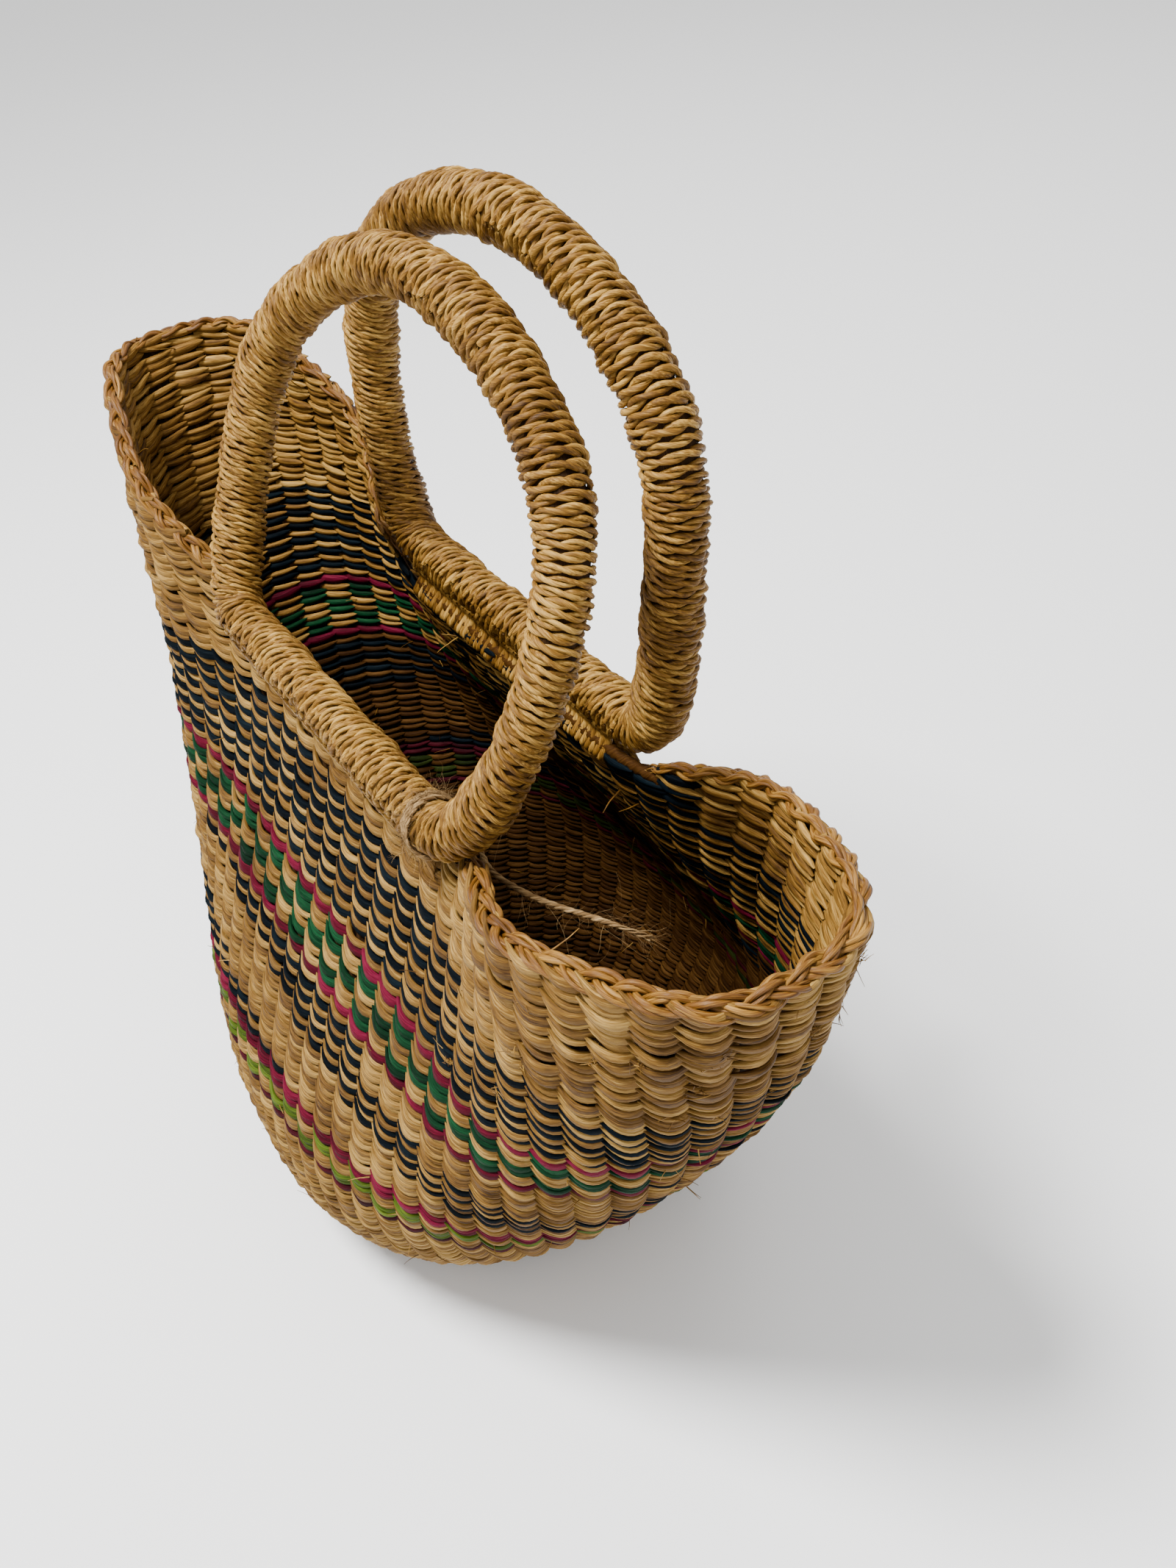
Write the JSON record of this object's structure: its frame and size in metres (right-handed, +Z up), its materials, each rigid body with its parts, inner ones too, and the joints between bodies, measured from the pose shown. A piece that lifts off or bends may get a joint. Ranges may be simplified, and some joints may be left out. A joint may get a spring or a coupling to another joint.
{
  "type": "woven market basket",
  "caption": "Boat-shaped twined grass basket with raised plaited ends and two cord-wrapped loop handles that flex about their feet.",
  "frame": {"origin": "centre of the base's underside, on the surface the basket stands on", "axes": "+X along the basket to its right (lower-crowned) end, -Y to the front handle, +Z up"},
  "size_m": [0.4357, 0.215, 0.4216],
  "materials": {
    "natural_weft": "dry matt grass with a faint sheen",
    "navy_weft": "dyed grass, navy rows between natural rows",
    "wedge_weft": "dyed grass, navy wedges on natural",
    "stripe_weft": "dyed grass, raspberry and green rows on natural",
    "rim_braid": "plaited grass, slightly glossy",
    "wrap_cord": "twisted grass cord, satin",
    "grass_bundle": "dry grass bundle",
    "jute": "fuzzy jute twine"
  },
  "bodies": {
    "basket": {"base": "natural_weft", "foot_band": "natural_weft", "lower_stripe_band": "stripe_weft", "wedge_band": "wedge_weft", "upper_stripe_band": "stripe_weft", "navy_band": "navy_weft", "right_crown": "natural_weft", "left_crown": "natural_weft", "front_saddle": "natural_weft", "rear_saddle": "natural_weft", "right_rim_braid": "rim_braid", "left_rim_braid": "rim_braid", "front_bar_core": "grass_bundle", "front_bar_wrap": "wrap_cord", "front_bar_stitches": "wrap_cord", "front_left_foot_lashing": "wrap_cord", "front_right_foot_lashing": "wrap_cord", "rear_bar_core": "grass_bundle", "rear_bar_wrap": "wrap_cord", "rear_bar_stitches": "wrap_cord", "rear_left_foot_lashing": "wrap_cord", "rear_right_foot_lashing": "wrap_cord", "jute_binding": "jute", "jute_tail": "jute"},
    "front_handle": {"front_handle_core": "grass_bundle", "front_handle_wrap": "wrap_cord", "front_handle_splice": "wrap_cord"},
    "rear_handle": {"rear_handle_core": "grass_bundle", "rear_handle_wrap": "wrap_cord", "rear_handle_splice": "wrap_cord"}
  },
  "joints": [
    {"name": "front_handle_flex", "type": "hinge", "parent": "basket", "child": "front_handle", "pos_m": [0, -0.04, 0.262], "axis": [1, 0, 0], "range_deg": [-1, 68]},
    {"name": "rear_handle_flex", "type": "hinge", "parent": "basket", "child": "rear_handle", "pos_m": [0, 0.04, 0.262], "axis": [-1, 0, 0], "range_deg": [-1, 41]}
  ]
}
